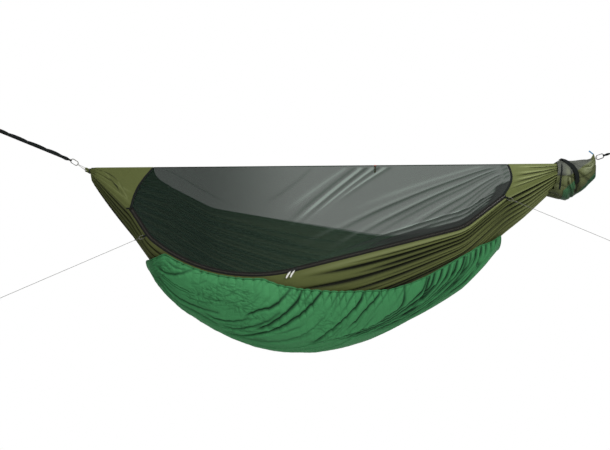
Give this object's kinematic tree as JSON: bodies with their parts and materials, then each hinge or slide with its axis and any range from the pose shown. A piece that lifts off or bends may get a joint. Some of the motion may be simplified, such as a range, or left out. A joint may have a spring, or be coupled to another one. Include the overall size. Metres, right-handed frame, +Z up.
{
  "type": "hammock",
  "caption": "Camping hammock on its suspension: gathered olive bed with zipped bug net and ridgeline, green underquilt, straps, carabiners, side tie-outs and stuff sack.",
  "frame": {"origin": "the head hang point, where the head strap bears on the crown of the head carabiner", "axes": "+X along the ridgeline towards the foot end, +Y away from the side with the zip, +Z up"},
  "size_m": [3.6597, 1.3259, 1.3352],
  "materials": {
    "olive_ripstop": "olive ripstop nylon, slightly glossy",
    "green_ripstop": "green ripstop nylon, slightly glossy",
    "bug_net": "fine dark insect net",
    "zip_tape": "woven tape and cord, dull",
    "black_webbing": "woven webbing and whipping, dull",
    "shock_cord": "covered elastic cord in a green channel",
    "white_cord": "pale braided cord",
    "grey_metal": "satin, lightly worn",
    "black_metal": "black anodised, satin"
  },
  "bodies": {
    "hammock": {"bed_cloth": "olive_ripstop", "net_near": "bug_net", "net_far": "bug_net", "head_panel_near": "olive_ripstop", "head_panel_far": "olive_ripstop", "foot_panel_near": "olive_ripstop", "foot_panel_far": "olive_ripstop", "head_binding_near": "black_webbing", "head_binding_far": "black_webbing", "foot_binding_near": "black_webbing", "foot_binding_far": "black_webbing", "zip_lower_tape": "zip_tape", "zip_upper_tape": "zip_tape", "far_edge_tape": "zip_tape", "ridgeline": "zip_tape", "underquilt": "green_ripstop", "quilt_hem_cord": "shock_cord", "head_gather": "olive_ripstop", "foot_gather": "olive_ripstop", "head_whipping": "black_webbing", "foot_whipping": "black_webbing", "head_loop": "white_cord", "foot_loop": "white_cord", "head_carabiner": "grey_metal", "foot_carabiner": "black_metal", "head_strap": "black_webbing", "foot_strap": "black_webbing", "head_strap_loops": "black_webbing", "head_tie_tab": "black_webbing", "foot_tie_tab": "black_webbing", "head_tie_ring": "grey_metal", "foot_tie_ring": "grey_metal", "head_guy_bight": "white_cord", "foot_guy_bight": "white_cord", "head_guy_line": "white_cord", "foot_guy_line": "white_cord", "head_guy_eye": "white_cord", "foot_guy_eye": "white_cord", "corner_tab": "black_webbing", "stuff_sack": "olive_ripstop", "sack_hem": "green_ripstop", "sack_band": "black_webbing", "sack_mouth_strap": "black_webbing", "sack_loop": "black_webbing"},
    "head_gate": {"head_gate": "black_metal"},
    "foot_gate": {"foot_gate": "black_metal"},
    "head_slider": {"head_slider": "black_metal"},
    "foot_slider": {"foot_slider": "black_metal"},
    "head_pull": {"head_pull": "white_cord"},
    "foot_pull": {"foot_pull": "white_cord"},
    "ridge_hang_tab": {"ridge_hang_tab": "black_webbing"}
  },
  "joints": [
    {"name": "head_gate_hinge", "type": "hinge", "parent": "hammock", "child": "head_gate", "pos_m": [0.02061, 0, -0.02603], "axis": [0, 1, 0], "range_deg": [0, 28], "stiffness_Nm_per_rad": 0.004, "springref_deg": -8.59},
    {"name": "foot_gate_hinge", "type": "hinge", "parent": "hammock", "child": "foot_gate", "pos_m": [3.00481, 0, 0.00402], "axis": [0, 1, 0], "range_deg": [0, 28], "stiffness_Nm_per_rad": 0.004, "springref_deg": -8.59},
    {"name": "head_slider_travel", "type": "hinge", "parent": "hammock", "child": "head_slider", "pos_m": [1.06228, 0.02904, 0.13327], "axis": [0, 0.8192, -0.5736], "range_deg": [0, 52]},
    {"name": "foot_slider_travel", "type": "slide", "parent": "hammock", "child": "foot_slider", "axis": [0.9681, 0.1436, 0.2051], "range_m": [0, 0.87]},
    {"name": "head_pull_swing", "type": "hinge", "parent": "head_slider", "child": "head_pull", "pos_m": [1.26468, -0.45267, -0.53724], "axis": [-0.9712, -0.1366, -0.195], "range_deg": [0, 100]},
    {"name": "foot_pull_swing", "type": "hinge", "parent": "foot_slider", "child": "foot_pull", "pos_m": [1.28551, -0.44962, -0.53289], "axis": [-0.9681, -0.1436, -0.2051], "range_deg": [0, 100]},
    {"name": "ridge_tab_swing", "type": "hinge", "parent": "hammock", "child": "ridge_hang_tab", "pos_m": [1.73528, 0, -0.0453], "axis": [1, 0, 0], "range_deg": [-15, 15]}
  ]
}
